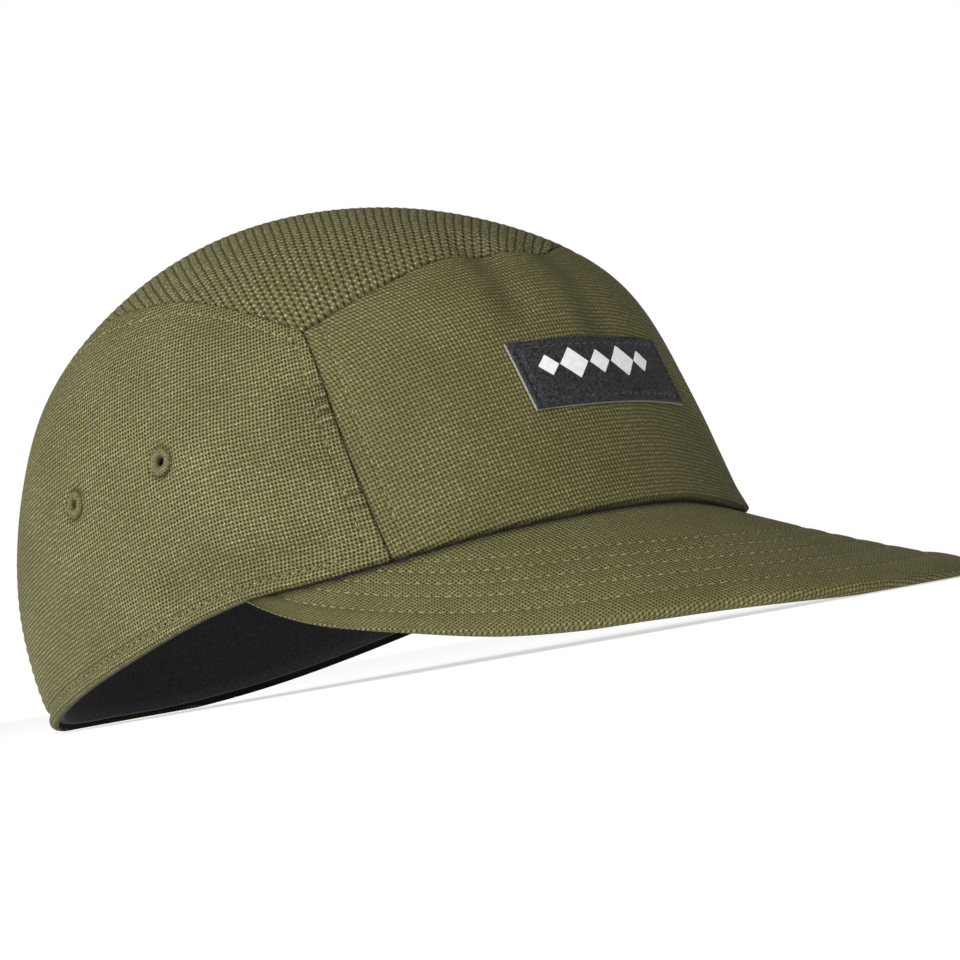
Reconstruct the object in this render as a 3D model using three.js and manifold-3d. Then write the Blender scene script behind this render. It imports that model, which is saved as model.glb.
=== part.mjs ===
// A five-panel cap with a curved peak, standing on a table on its rear rim and the tip of its peak.
// Millimetres, +Z up. The front faces -Y. The cut is symmetric about X = 0, and only soft folds, the
// sag of the rim over the peak and the label's place differ between the two sides.
// The crown is described in the head's frame: its origin is in the middle of the rim, with the rim
// level. A turn is measured round the head from the front towards the wearer's right, and a lift is
// the angle from the rim up to the apex. The last step sets the cap down on the table.
import * as THREE from 'three';
import Module from 'manifold-3d';
import { mergeVertices } from 'three/addons/utils/BufferGeometryUtils.js';

const wasm = await Module();
wasm.setup();

// Driving dimensions of the crown
const CROWN_HEIGHT = 106.5;
const APEX_SET_BACK = 25;
const PANEL_THICKNESS = 1.6;
const SEAM_GAP_TURN = 0.12;
const SEAM_GAP_LIFT = 0.11;

// Reach of the crown from its axis at each lift: to the front, to the back and to either side
const CROWN_SECTIONS = [
  { lift: -5, front: 88, back: 120.5, half: 79.5 },
  { lift: 0, front: 84.5, back: 121, half: 80 },
  { lift: 8, front: 83.5, back: 122.5, half: 81 },
  { lift: 18, front: 86, back: 123, half: 83 },
  { lift: 36, front: 97.8, back: 121, half: 86 },
  { lift: 54, front: 101.5, back: 122, half: 87 },
  { lift: 72, front: 104, back: 114, half: 86 },
  { lift: 90, front: 104.5, back: 106, half: 84.5 },
];

// Height of the rim round the head on the wearer's right and left: it rises a little over the ears,
// and it sags over the peak to the left of the middle
const RIM = [
  { turn: 0, right: -5.3, left: -5.3 },
  { turn: 12, right: -4, left: -7.8 },
  { turn: 27, right: -2.8, left: -9 },
  { turn: 42, right: -1.7, left: -6.4 },
  { turn: 56, right: -1.2, left: -3 },
  { turn: 70, right: 0, left: -0.2 },
  { turn: 90, right: 2.7, left: 2.7 },
  { turn: 115, right: 0.7, left: 0.7 },
  { turn: 145, right: -1.2, left: -1.2 },
  { turn: 180, right: 0, left: 0 },
];

// Turns at which the upright seams stand, and the lift of the seam round the top panel
const FRONT_SEAM_TURN = 59;
const BACK_SEAM_TURN = 152;
const FRONT_TOP_SEAM = [
  { turn: 0, lift: 39.5 },
  { turn: 24, lift: 42 },
  { turn: 39, lift: 40 },
  { turn: 59, lift: 36 },
];
const SIDE_TOP_SEAM = [
  { turn: 59, lift: 36 },
  { turn: 68, lift: 44 },
  { turn: 78, lift: 51 },
  { turn: 90, lift: 55.5 },
  { turn: 112, lift: 60 },
  { turn: 132, lift: 57.5 },
  { turn: 152, lift: 49 },
];
const BACK_TOP_SEAM = [
  { turn: 152, lift: 49 },
  { turn: 180, lift: 46 },
];

// Soft folds and dents: each runs from one place to another, spreads to either side of its line and
// sinks by its depth, or stands proud by it where the depth is below nought. Right is the wearer's.
const FOLDS = [
  { side: 'right', turn: 15, lift: 44, toTurn: 19, toLift: 30, spread: 5, depth: 1.4 },
  { side: 'right', turn: -3, lift: 41, toTurn: 1, toLift: 25, spread: 6, depth: 1.5 },
  { side: 'right', turn: 63, lift: 24, toTurn: 61, toLift: 17, spread: 6, depth: 1.4 },
  { side: 'right', turn: 90, lift: 26, toTurn: 66, toLift: 20, spread: 8, depth: -1.2 },
  { side: 'right', turn: 98, lift: 7.5, toTurn: 70, toLift: 5.5, spread: 5, depth: 1.4 },
  { side: 'left', turn: 92, lift: 24, toTurn: 70, toLift: 18, spread: 9, depth: -1 },
  { side: 'left', turn: 96, lift: 8, toTurn: 72, toLift: 6, spread: 6, depth: 1 },
];

// The peak: where its outer edge lies for the place on the rim that each row starts from
const PEAK_THICKNESS = 3.2;
const PEAK_EDGE_ROUND = 1.4;
const PEAK_JOINT_GAP = 0.35;
const PEAK_BELLY = -1.5;
const PEAK_EDGE = [
  { turn: 88, out: 81, forward: 3, height: 0 },
  { turn: 79, out: 81.5, forward: 27, height: -11 },
  { turn: 70, out: 78.5, forward: 51.5, height: -20.5 },
  { turn: 61, out: 74.5, forward: 73, height: -28 },
  { turn: 53, out: 69, forward: 92, height: -33 },
  { turn: 44, out: 61.5, forward: 108.5, height: -36.2 },
  { turn: 35, out: 52.5, forward: 121, height: -38.8 },
  { turn: 26, out: 42, forward: 132, height: -41.5 },
  { turn: 17, out: 30, forward: 140, height: -43.8 },
  { turn: 9, out: 16.5, forward: 145, height: -45.4 },
  { turn: 0, out: 0, forward: 146.5, height: -46 },
];

// Sweatband, label and eyelets
const BAND_HEIGHT = 33;
const BAND_THICKNESS = 1.5;
const BAND_GAP = 0.6;
const LABEL_HALF_WIDTH = 26;
const LABEL_OFFSET = 7;
const LABEL_RISE = 2.3;
const LABEL_BOTTOM = 22.3;
const LABEL_TOP = 40.8;
const LABEL_GAP = 0.35;
const LABEL_THICKNESS = 1.2;
const EYELETS = [
  { place: 'front', turn: 93, lift: 24.6 },
  { place: 'rear', turn: 113, lift: 25.2 },
];
const EYELET_RADIUS = 4.3;
const EYELET_HOLE_RADIUS = 1.4;
const EYELET_GAP = 0.35;
const EYELET_PROUD = 0.6;

// How the cap rests: the soft rim gives a little where it touches the table
const REST_GIVE = 0.7;
const REST_SHIFT_Y = 14.2;

// How finely each piece is divided
const FRONT_COLUMNS = 20;
const FRONT_ROWS = 10;
const SIDE_COLUMNS = 18;
const SIDE_ROWS = 11;
const BACK_ROWS = 8;
const BAND_COLUMNS = 60;
const BAND_ROWS = 4;
const PEAK_COLUMNS = 34;
const PEAK_ROWS = 6;
const LABEL_COLUMNS = 12;
const LABEL_ROWS = 4;
const EYELET_SIDES = 16;

const OLIVE = 0x79764f;
const OLIVE_DARK = 0x6c6948;
const BLACK = 0x1c1c1c;
const CHARCOAL = 0x2b2b2d;

const radians = THREE.MathUtils.degToRad;
const mix = THREE.MathUtils.lerp;

// A smooth curve through a table's rows: the value of one column where another column has a given value
function through(rows, column, value, at) {
  let i = 0;
  while (i < rows.length - 2 && at > rows[i + 1][column]) i += 1;
  const slope = (j) => {
    const before = rows[Math.max(j - 1, 0)];
    const after = rows[Math.min(j + 1, rows.length - 1)];
    return (after[value] - before[value]) / (after[column] - before[column]);
  };
  const from = rows[i];
  const to = rows[i + 1];
  const span = to[column] - from[column];
  const s = (at - from[column]) / span;
  const bend = s * s * (3 - 2 * s);
  const leave = slope(i) * span * s * (1 - s) * (1 - s);
  const arrive = slope(i + 1) * span * s * s * (1 - s);
  return mix(from[value], to[value], bend) + leave - arrive;
}

// Turns beyond half way round are read from the mirrored side
function foldedTurn(turn) {
  const whole = ((turn % 360) + 360) % 360;
  return whole > 180 ? 360 - whole : whole;
}

function rimLift(turn) {
  const onRight = Math.sin(radians(turn)) >= 0;
  const height = through(RIM, 'turn', onRight ? 'right' : 'left', foldedTurn(turn));
  return THREE.MathUtils.radToDeg(Math.asin(height / CROWN_HEIGHT));
}

function topSeamLift(turn) {
  const t = foldedTurn(turn);
  if (t <= FRONT_SEAM_TURN) return through(FRONT_TOP_SEAM, 'turn', 'lift', t);
  if (t <= BACK_SEAM_TURN) return through(SIDE_TOP_SEAM, 'turn', 'lift', t);
  return through(BACK_TOP_SEAM, 'turn', 'lift', t);
}

// The crown laid out as a disk: its middle is the apex and a point's distance from it is the part of
// the way down to the rim. Right and ahead are the disk's two directions.
function toDisk(turn, lift) {
  const away = 1 - lift / 90;
  return [away * Math.sin(radians(turn)), away * Math.cos(radians(turn))];
}

function smoothCrown(right, ahead) {
  const away = Math.hypot(right, ahead);
  const lift = 90 * (1 - away);
  const turn = Math.atan2(right, ahead);
  const reach = Math.cos(radians(lift));
  const rise = Math.sin(radians(lift));
  const along = through(CROWN_SECTIONS, 'lift', Math.cos(turn) > 0 ? 'front' : 'back', lift);
  const half = through(CROWN_SECTIONS, 'lift', 'half', lift);
  return new THREE.Vector3(
    -Math.sin(turn) * half * reach,
    APEX_SET_BACK * rise * rise - Math.cos(turn) * along * reach,
    CROWN_HEIGHT * rise,
  );
}

function outward(right, ahead) {
  const step = 0.004;
  const across = smoothCrown(right + step, ahead).sub(smoothCrown(right - step, ahead));
  const along = smoothCrown(right, ahead + step).sub(smoothCrown(right, ahead - step));
  return across.cross(along).normalize();
}

const foldLines = FOLDS.map((fold) => {
  const mirror = fold.side === 'left' ? -1 : 1;
  const start = smoothCrown(...toDisk(mirror * fold.turn, fold.lift));
  const end = smoothCrown(...toDisk(mirror * fold.toTurn, fold.toLift));
  return { ...fold, line: new THREE.Line3(start, end) };
});

function foldSink(point) {
  let sink = 0;
  for (const fold of foldLines) {
    const nearest = fold.line.closestPointToPoint(point, true, new THREE.Vector3());
    sink += fold.depth * Math.exp(-((point.distanceTo(nearest) / fold.spread) ** 2));
  }
  return sink;
}

// A point of the crown, sunk below its outer face by a depth
function crown(turn, lift, depth) {
  const [right, ahead] = toDisk(turn, lift);
  return crownOnDisk(right, ahead, depth);
}

function crownOnDisk(right, ahead, depth) {
  const point = smoothCrown(right, ahead);
  return point.addScaledVector(outward(right, ahead), -depth - foldSink(point));
}

// The peak's upper face: straight lines fan out from under the rim to the outer edge
const peakEdgeRound = [...PEAK_EDGE].reverse();
const mirroredEdge = PEAK_EDGE.slice(0, -1).map((row) => ({ ...row, turn: -row.turn, out: -row.out }));
const wholeEdge = [...mirroredEdge, ...peakEdgeRound];

function peakTop(turn, along) {
  const start = crown(turn, rimLift(turn), PANEL_THICKNESS);
  start.z -= PEAK_JOINT_GAP;
  const edge = new THREE.Vector3(
    -through(wholeEdge, 'turn', 'out', turn),
    -through(wholeEdge, 'turn', 'forward', turn),
    through(wholeEdge, 'turn', 'height', turn),
  );
  const inset = PEAK_EDGE_ROUND / Math.max(start.distanceTo(edge), 2 * PEAK_EDGE_ROUND);
  const at = along * (1 - inset);
  const point = start.clone().lerp(edge, at);
  point.z += PEAK_BELLY * 4 * at * (1 - at) * (start.distanceTo(edge) / PEAK_EDGE.at(-1).forward);
  return point;
}

function peakDown(turn, along) {
  const stepAlong = peakTop(turn, along + 0.02).sub(peakTop(turn, along - 0.02));
  const stepRound = peakTop(turn + 0.5, along).sub(peakTop(turn - 0.5, along));
  const down = stepRound.cross(stepAlong).normalize();
  return down.z > 0 ? down.negate() : down;
}

// The cap tips until its rear rim and the underside of its peak's tip are level, then it is set down
const rearReach = through(CROWN_SECTIONS, 'lift', 'back', 0);
const tipUnder = peakTop(0, 1).addScaledVector(peakDown(0, 1), PEAK_THICKNESS);
const REST_PITCH = -Math.atan2(-tipUnder.z, rearReach - tipUnder.y);
const REST_LIFT = -rearReach * Math.sin(REST_PITCH) - REST_GIVE;

function setDown(point) {
  const turned = point.clone().applyAxisAngle(new THREE.Vector3(1, 0, 0), REST_PITCH);
  return new THREE.Vector3(turned.x, turned.y + REST_SHIFT_Y, Math.max(turned.z + REST_LIFT, 0));
}

// A closed mesh from faces given as corner points; shared corners are merged
function solidFrom(triangles) {
  const positions = [];
  for (const triangle of triangles) {
    for (const corner of triangle) positions.push(...setDown(corner).toArray());
  }
  let geometry = new THREE.BufferGeometry();
  geometry.setAttribute('position', new THREE.Float32BufferAttribute(positions, 3));
  geometry = mergeVertices(geometry, 1e-4);
  return geometry;
}

function quad(a, b, c, d) {
  return [[a, b, c], [a, c, d]];
}

function strip(first, second) {
  const faces = [];
  for (let i = 0; i + 1 < first.length; i += 1) {
    faces.push(...quad(first[i], first[i + 1], second[i + 1], second[i]));
  }
  return faces;
}

// A wall of cloth: an outer sheet, an inner sheet and the four edges that join them. The place
// function gives a point for a column, a row and a face, which is 0 outside and 1 inside.
function wall(columns, rows, place) {
  const sheet = (face) => {
    const lines = [];
    for (let row = 0; row <= rows; row += 1) {
      const line = [];
      for (let column = 0; column <= columns; column += 1) {
        line.push(place(column / columns, row / rows, face));
      }
      lines.push(line);
    }
    return lines;
  };
  const outer = sheet(0);
  const inner = sheet(1);
  const faces = [];
  for (let row = 0; row < rows; row += 1) {
    faces.push(...strip(outer[row + 1], outer[row]));
    faces.push(...strip(inner[row], inner[row + 1]));
  }
  const column = (sheetLines, at) => sheetLines.map((line) => line.at(at));
  faces.push(...strip(outer[0], inner[0]));
  faces.push(...strip(inner[rows], outer[rows]));
  faces.push(...strip(column(inner, 0), column(outer, 0)));
  faces.push(...strip(column(outer, -1), column(inner, -1)));
  return solidFrom(faces);
}

// A panel between two turns, from the rim up to the seam round the top
function uprightPanel(fromTurn, toTurn, columns, rows) {
  return wall(columns, rows, (across, up, face) => {
    const turn = mix(fromTurn + SEAM_GAP_TURN, toTurn - SEAM_GAP_TURN, across);
    const lift = mix(rimLift(turn), topSeamLift(turn) - SEAM_GAP_LIFT, up);
    return crown(turn, lift, face * PANEL_THICKNESS);
  });
}

// The top panel is stretched between its four seams on the disk
function topPanel() {
  const onSeam = (turn) => toDisk(turn, topSeamLift(turn) + SEAM_GAP_LIFT);
  const front = (s) => onSeam(mix(-FRONT_SEAM_TURN, FRONT_SEAM_TURN, s));
  const back = (s) => onSeam(mix(360 - BACK_SEAM_TURN, BACK_SEAM_TURN, s));
  const left = (s) => onSeam(-mix(FRONT_SEAM_TURN, BACK_SEAM_TURN, s));
  const right = (s) => onSeam(mix(FRONT_SEAM_TURN, BACK_SEAM_TURN, s));
  return wall(FRONT_COLUMNS, SIDE_COLUMNS, (across, along, face) => {
    const blend = (i) => {
      const lengthways = mix(front(across)[i], back(across)[i], along);
      const sideways = mix(left(along)[i], right(along)[i], across);
      const corners = mix(
        mix(front(0)[i], front(1)[i], across),
        mix(back(0)[i], back(1)[i], across),
        along,
      );
      return lengthways + sideways - corners;
    };
    return crownOnDisk(blend(0), blend(1), face * PANEL_THICKNESS);
  });
}

// The sweatband is a loop inside the rim; its section is a thin upright strip
function sweatband() {
  const lower = PANEL_THICKNESS + BAND_GAP;
  const bandLift = THREE.MathUtils.radToDeg(Math.asin(BAND_HEIGHT / CROWN_HEIGHT));
  const section = (turn) => {
    const bottom = rimLift(turn);
    const lifts = Array.from({ length: BAND_ROWS + 1 }, (_, row) => bottom + bandLift * row / BAND_ROWS);
    const outside = lifts.map((lift) => crown(turn, lift, lower));
    const inside = lifts.map((lift) => crown(turn, lift, lower + BAND_THICKNESS));
    return [...outside, ...inside.reverse()];
  };
  const sections = [];
  for (let i = 0; i <= BAND_COLUMNS; i += 1) sections.push(section((i % BAND_COLUMNS) * 360 / BAND_COLUMNS));
  const faces = [];
  for (let i = 0; i < BAND_COLUMNS; i += 1) {
    const here = sections[i];
    const next = sections[i + 1];
    faces.push(...strip([...here, here[0]], [...next, next[0]]));
  }
  return solidFrom(faces);
}

function peak() {
  const span = PEAK_EDGE[0].turn;
  const turnAt = (column) => mix(-span, span, column / PEAK_COLUMNS);
  const line = (along, depth) => {
    const points = [];
    for (let column = 0; column <= PEAK_COLUMNS; column += 1) {
      const turn = turnAt(column);
      points.push(peakTop(turn, along).addScaledVector(peakDown(turn, along), depth));
    }
    return points;
  };
  const upper = [];
  const lower = [];
  for (let row = 0; row <= PEAK_ROWS; row += 1) {
    upper.push(line(row / PEAK_ROWS, 0));
    lower.push(line(row / PEAK_ROWS, PEAK_THICKNESS));
  }
  const nose = upper[PEAK_ROWS].map((point, i) => {
    const outwards = point.clone().sub(upper[PEAK_ROWS - 1][i]).normalize();
    return point.clone().lerp(lower[PEAK_ROWS][i], 0.5).addScaledVector(outwards, PEAK_EDGE_ROUND);
  });
  const faces = [];
  for (let row = 0; row < PEAK_ROWS; row += 1) {
    faces.push(...strip(upper[row], upper[row + 1]));
    faces.push(...strip(lower[row + 1], lower[row]));
  }
  faces.push(...strip(upper[PEAK_ROWS], nose));
  faces.push(...strip(nose, lower[PEAK_ROWS]));
  faces.push(...strip(lower[0], upper[0]));
  for (const [end, order] of [[0, 1], [PEAK_COLUMNS, -1]]) {
    const loop = [...upper.map((points) => points[end]), nose[end]];
    const under = lower.map((points) => points[end]);
    const closing = strip(loop.slice(0, -1), under);
    closing.push([loop.at(-2), loop.at(-1), under.at(-1)]);
    faces.push(...(order > 0 ? closing : closing.map((face) => [...face].reverse())));
  }
  return solidFrom(faces);
}

// The label is a small plate that follows the front panel; its end on the wearer's right is raised
function label() {
  const turnFor = (out, lift) => {
    const half = through(CROWN_SECTIONS, 'lift', 'half', lift) * Math.cos(radians(lift));
    return THREE.MathUtils.radToDeg(Math.asin(out / half));
  };
  return wall(LABEL_COLUMNS, LABEL_ROWS, (across, up, face) => {
    const aside = mix(-1, 1, across);
    const height = mix(LABEL_BOTTOM, LABEL_TOP, up) + LABEL_RISE * aside;
    const lift = THREE.MathUtils.radToDeg(Math.asin(height / CROWN_HEIGHT));
    const turn = turnFor(LABEL_OFFSET + LABEL_HALF_WIDTH * aside, lift);
    return crown(turn, lift, -LABEL_GAP - (1 - face) * LABEL_THICKNESS);
  });
}

// Each eyelet is a stitched ring seated in its own hole; it is placed by its middle and its axis
function eyeletSeat(side, eyelet) {
  const turn = side * eyelet.turn;
  const middle = setDown(crown(turn, eyelet.lift, PANEL_THICKNESS / 2));
  const normal = outward(...toDisk(turn, eyelet.lift));
  const above = setDown(crown(turn, eyelet.lift, PANEL_THICKNESS / 2).add(normal));
  const axis = above.sub(middle).normalize();
  const turned = new THREE.Quaternion().setFromUnitVectors(new THREE.Vector3(0, 1, 0), axis);
  return { middle, turned };
}

function eyeletRing() {
  const half = PANEL_THICKNESS / 2 + EYELET_PROUD;
  const flat = PANEL_THICKNESS / 2;
  const middleRadius = (EYELET_RADIUS + EYELET_HOLE_RADIUS) / 2;
  const profile = [
    [EYELET_HOLE_RADIUS, -flat],
    [middleRadius, -half],
    [EYELET_RADIUS, -flat],
    [EYELET_RADIUS, flat],
    [middleRadius, half],
    [EYELET_HOLE_RADIUS, flat],
    [EYELET_HOLE_RADIUS, -flat],
  ].map(([radius, height]) => new THREE.Vector2(radius, height));
  return new THREE.LatheGeometry(profile, EYELET_SIDES);
}

function manifoldOf(geometry) {
  const bare = geometry.clone();
  bare.deleteAttribute('normal');
  bare.deleteAttribute('uv');
  const merged = mergeVertices(bare, 1e-4);
  return new wasm.Manifold(new wasm.Mesh({
    numProp: 3,
    vertProperties: new Float32Array(merged.attributes.position.array),
    triVerts: new Uint32Array(merged.index.array),
  }));
}

function geometryOf(manifold) {
  const { vertProperties, triVerts } = manifold.getMesh();
  const geometry = new THREE.BufferGeometry();
  geometry.setAttribute('position', new THREE.BufferAttribute(new Float32Array(vertProperties), 3));
  geometry.setIndex(new THREE.BufferAttribute(new Uint32Array(triVerts), 1));
  return geometry;
}

function sidePanel(side) {
  const [from, to] = side > 0 ? [FRONT_SEAM_TURN, BACK_SEAM_TURN] : [-BACK_SEAM_TURN, -FRONT_SEAM_TURN];
  let panel = manifoldOf(uprightPanel(from, to, SIDE_COLUMNS, SIDE_ROWS));
  for (const eyelet of EYELETS) {
    const radius = EYELET_RADIUS + EYELET_GAP;
    const drill = new THREE.CylinderGeometry(radius, radius, 6 * PANEL_THICKNESS, EYELET_SIDES);
    const { middle, turned } = eyeletSeat(side, eyelet);
    drill.applyQuaternion(turned).translate(middle.x, middle.y, middle.z);
    panel = panel.subtract(manifoldOf(drill));
  }
  return geometryOf(panel);
}

const group = new THREE.Group();

function add(name, geometry, color, roughness) {
  const material = new THREE.MeshStandardMaterial({ color, roughness, metalness: 0 });
  const mesh = new THREE.Mesh(geometry, material);
  mesh.name = name;
  group.add(mesh);
  return mesh;
}

add('front_panel', uprightPanel(-FRONT_SEAM_TURN, FRONT_SEAM_TURN, FRONT_COLUMNS, FRONT_ROWS), OLIVE, 0.9);
add('side_panel_right', sidePanel(1), OLIVE, 0.9);
add('side_panel_left', sidePanel(-1), OLIVE, 0.9);
add('back_panel', uprightPanel(BACK_SEAM_TURN, 360 - BACK_SEAM_TURN, FRONT_COLUMNS, BACK_ROWS), OLIVE, 0.9);
add('top_panel', topPanel(), OLIVE_DARK, 0.95);
add('peak', peak(), OLIVE, 0.9);
add('sweatband', sweatband(), BLACK, 0.95);
add('label_patch', label(), CHARCOAL, 0.8);

for (const [side, sideName] of [[1, 'right'], [-1, 'left']]) {
  for (const eyelet of EYELETS) {
    const ring = add(`eyelet_${sideName}_${eyelet.place}`, eyeletRing(), OLIVE_DARK, 0.9);
    const { middle, turned } = eyeletSeat(side, eyelet);
    ring.position.copy(middle);
    ring.quaternion.copy(turned);
  }
}

export default group;
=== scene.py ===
# %% [markdown]
# A five-panel cap. The cap is sewn from five cut pieces of cloth: a front, two sides, a back and a
# ribbed top, with a stiff peak, a sweatband, a label and four stitched eyelets. The CAD model gives
# the place and size of each one, so this lesson only dresses them: it makes the cloth, the seams
# and the stitches, and a material for each.

# %% The frame and its box
import math

import bmesh
import bpy
import numpy as np
from mathutils import Matrix, Vector


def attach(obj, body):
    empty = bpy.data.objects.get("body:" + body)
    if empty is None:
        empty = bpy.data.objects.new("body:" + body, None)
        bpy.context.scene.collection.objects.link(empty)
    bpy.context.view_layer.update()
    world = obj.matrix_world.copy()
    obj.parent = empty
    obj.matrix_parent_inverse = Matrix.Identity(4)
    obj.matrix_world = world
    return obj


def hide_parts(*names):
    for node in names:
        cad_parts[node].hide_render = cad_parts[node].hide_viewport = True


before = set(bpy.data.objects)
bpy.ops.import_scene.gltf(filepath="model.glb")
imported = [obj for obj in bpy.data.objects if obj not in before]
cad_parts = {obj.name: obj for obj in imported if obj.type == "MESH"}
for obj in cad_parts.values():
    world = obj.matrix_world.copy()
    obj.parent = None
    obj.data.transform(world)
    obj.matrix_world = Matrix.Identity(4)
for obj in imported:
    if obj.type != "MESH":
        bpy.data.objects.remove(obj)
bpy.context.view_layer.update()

MM = 0.001

# %% [markdown]
# The head shape. A cap's crown is close to half an egg, so it could be sculpted from a sphere. Here
# it comes from a short table of sections instead, the same one that the CAD pieces were made from,
# because then every seam, stitch and fold can be placed by a turn round the head (0 is the front,
# 90 the wearer's right) and a lift (0 is the rim, 90 the apex). Sizes are in millimetres.

# %% The tables of the crown
CROWN_HEIGHT = 106.5
APEX_SET_BACK = 25
PANEL_THICKNESS = 1.6
CROWN_SECTIONS = {
    "lift": (-5, 0, 8, 18, 36, 54, 72, 90),
    "front": (88, 84.5, 83.5, 86, 97.8, 101.5, 104, 104.5),
    "back": (120.5, 121, 122.5, 123, 121, 122, 114, 106),
    "half": (79.5, 80, 81, 83, 86, 87, 86, 84.5),
}
RIM = {
    "turn": (0, 12, 27, 42, 56, 70, 90, 115, 145, 180),
    "right": (-5.3, -4, -2.8, -1.7, -1.2, 0, 2.7, 0.7, -1.2, 0),
    "left": (-5.3, -7.8, -9, -6.4, -3, -0.2, 2.7, 0.7, -1.2, 0),
}
FRONT_SEAM_TURN = 59
BACK_SEAM_TURN = 152
SEAM_POINT = 6
FRONT_TOP_SEAM = {"turn": (0, 24, 39, 59), "lift": (39.5, 42, 40, 36)}
SIDE_TOP_SEAM = {"turn": (59, 68, 78, 90, 112, 132, 152), "lift": (36, 44, 51, 55.5, 60, 57.5, 49)}
BACK_TOP_SEAM = {"turn": (152, 180), "lift": (49, 46)}

# Each fold has the turn and lift where it starts, those where it ends, its spread and its depth.
FOLDS = [
    (15, 44, 19, 30, 5, 1.4),
    (-3, 41, 1, 25, 6, 1.5),
    (63, 24, 61, 17, 6, 1.4),
    (90, 26, 66, 20, 8, -1.2),
    (98, 7.5, 70, 5.5, 5, 1.4),
    (-92, 24, -70, 18, 9, -1),
    (-96, 8, -72, 6, 6, 1),
]
print("lowest and highest point of the rim in mm:", min(RIM["left"]), max(RIM["left"]))

# %% [markdown]
# Reading a shape from a table needs a smooth curve through its rows. These functions give whole
# arrays of points at once, so that a grid of cloth with thousands of points takes no time. A fold
# is a soft trough that follows a straight line across the crown.

# %% The crown as a surface
def through(table, column, value, at):
    """A smooth curve through a table: one column's value where another column has the value at."""
    x = np.array(table[column], float)
    y = np.array(table[value], float)
    before = np.maximum(np.arange(len(x)) - 1, 0)
    after = np.minimum(np.arange(len(x)) + 1, len(x) - 1)
    slope = (y[after] - y[before]) / (x[after] - x[before])
    i = np.clip(np.searchsorted(x, at) - 1, 0, len(x) - 2)
    span = x[i + 1] - x[i]
    s = (at - x[i]) / span
    bend = s * s * (3 - 2 * s)
    leave = slope[i] * span * s * (1 - s) ** 2
    arrive = slope[i + 1] * span * s * s * (1 - s)
    return y[i] + (y[i + 1] - y[i]) * bend + leave - arrive


def mix(a, b, t):
    return a + (b - a) * t


def folded_turn(turn):
    whole = np.mod(turn, 360)
    return np.where(whole > 180, 360 - whole, whole)


def rim_lift(turn):
    on_right = np.sin(np.radians(turn)) >= 0
    sides = [through(RIM, "turn", side, folded_turn(turn)) for side in ("right", "left")]
    return np.degrees(np.arcsin(np.where(on_right, *sides) / CROWN_HEIGHT))


def rounded(turn, corner):
    """Keeps a turn from coming quite to the middle, so that a seam rounds its point there."""
    return np.hypot(turn, SEAM_POINT * np.clip(1 - turn / corner, 0, 1))


def top_seam_lift(turn):
    t = folded_turn(turn)
    front = through(FRONT_TOP_SEAM, "turn", "lift", rounded(t, FRONT_SEAM_TURN))
    side = through(SIDE_TOP_SEAM, "turn", "lift", t)
    back = through(BACK_TOP_SEAM, "turn", "lift", 180 - rounded(180 - t, 180 - BACK_SEAM_TURN))
    return np.where(t <= FRONT_SEAM_TURN, front, np.where(t <= BACK_SEAM_TURN, side, back))


def to_disk(turn, lift):
    """The crown laid out as a disk, with the apex in its middle and the rim one away from it."""
    away = 1 - lift / 90
    return away * np.sin(np.radians(turn)), away * np.cos(np.radians(turn))


def smooth_crown(right, ahead):
    """The crown without its folds, at places on the disk."""
    away = np.hypot(right, ahead)
    lift = 90 * (1 - away)
    turn = np.arctan2(right, ahead)
    reach = np.cos(np.radians(lift))
    rise = np.sin(np.radians(lift))
    to_front = through(CROWN_SECTIONS, "lift", "front", lift)
    to_back = through(CROWN_SECTIONS, "lift", "back", lift)
    along = np.where(np.cos(turn) > 0, to_front, to_back)
    half = through(CROWN_SECTIONS, "lift", "half", lift)
    x = -np.sin(turn) * half * reach
    y = APEX_SET_BACK * rise**2 - np.cos(turn) * along * reach
    return np.stack([x, y, CROWN_HEIGHT * rise], axis=-1)


def unit(vectors):
    return vectors / np.linalg.norm(vectors, axis=-1, keepdims=True)


def outward(right, ahead):
    """The direction straight out of the crown."""
    step = 0.004
    across = smooth_crown(right + step, ahead) - smooth_crown(right - step, ahead)
    along = smooth_crown(right, ahead + step) - smooth_crown(right, ahead - step)
    return unit(np.cross(across, along))


def fold_sink(points):
    """How deep the folds are at each point."""
    sink = np.zeros(points.shape[:-1])
    for turn, lift, to_turn, to_lift, spread, depth in FOLDS:
        start = smooth_crown(*to_disk(turn, lift))
        line = smooth_crown(*to_disk(to_turn, to_lift)) - start
        share = np.clip((points - start) @ line / (line @ line), 0, 1)
        distance = np.linalg.norm(points - start - share[..., None] * line, axis=-1)
        sink += depth * np.exp(-((distance / spread) ** 2))
    return sink


def crown_on_disk(right, ahead, depth):
    """The crown with its folds, at a depth below its outer face."""
    points = smooth_crown(right, ahead)
    return points - outward(right, ahead) * (depth + fold_sink(points))[..., None]


def crown(turn, lift, depth):
    return crown_on_disk(*to_disk(turn, lift), depth)


# %% [markdown]
# The peak and the way the cap rests. The peak is a flat board bent over the forehead: straight
# lines fan out from under the rim to a curved outer edge. A cap put down on a table tips until its
# rear rim and the tip of the peak both touch, so the same turn is worked out here.

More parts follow.
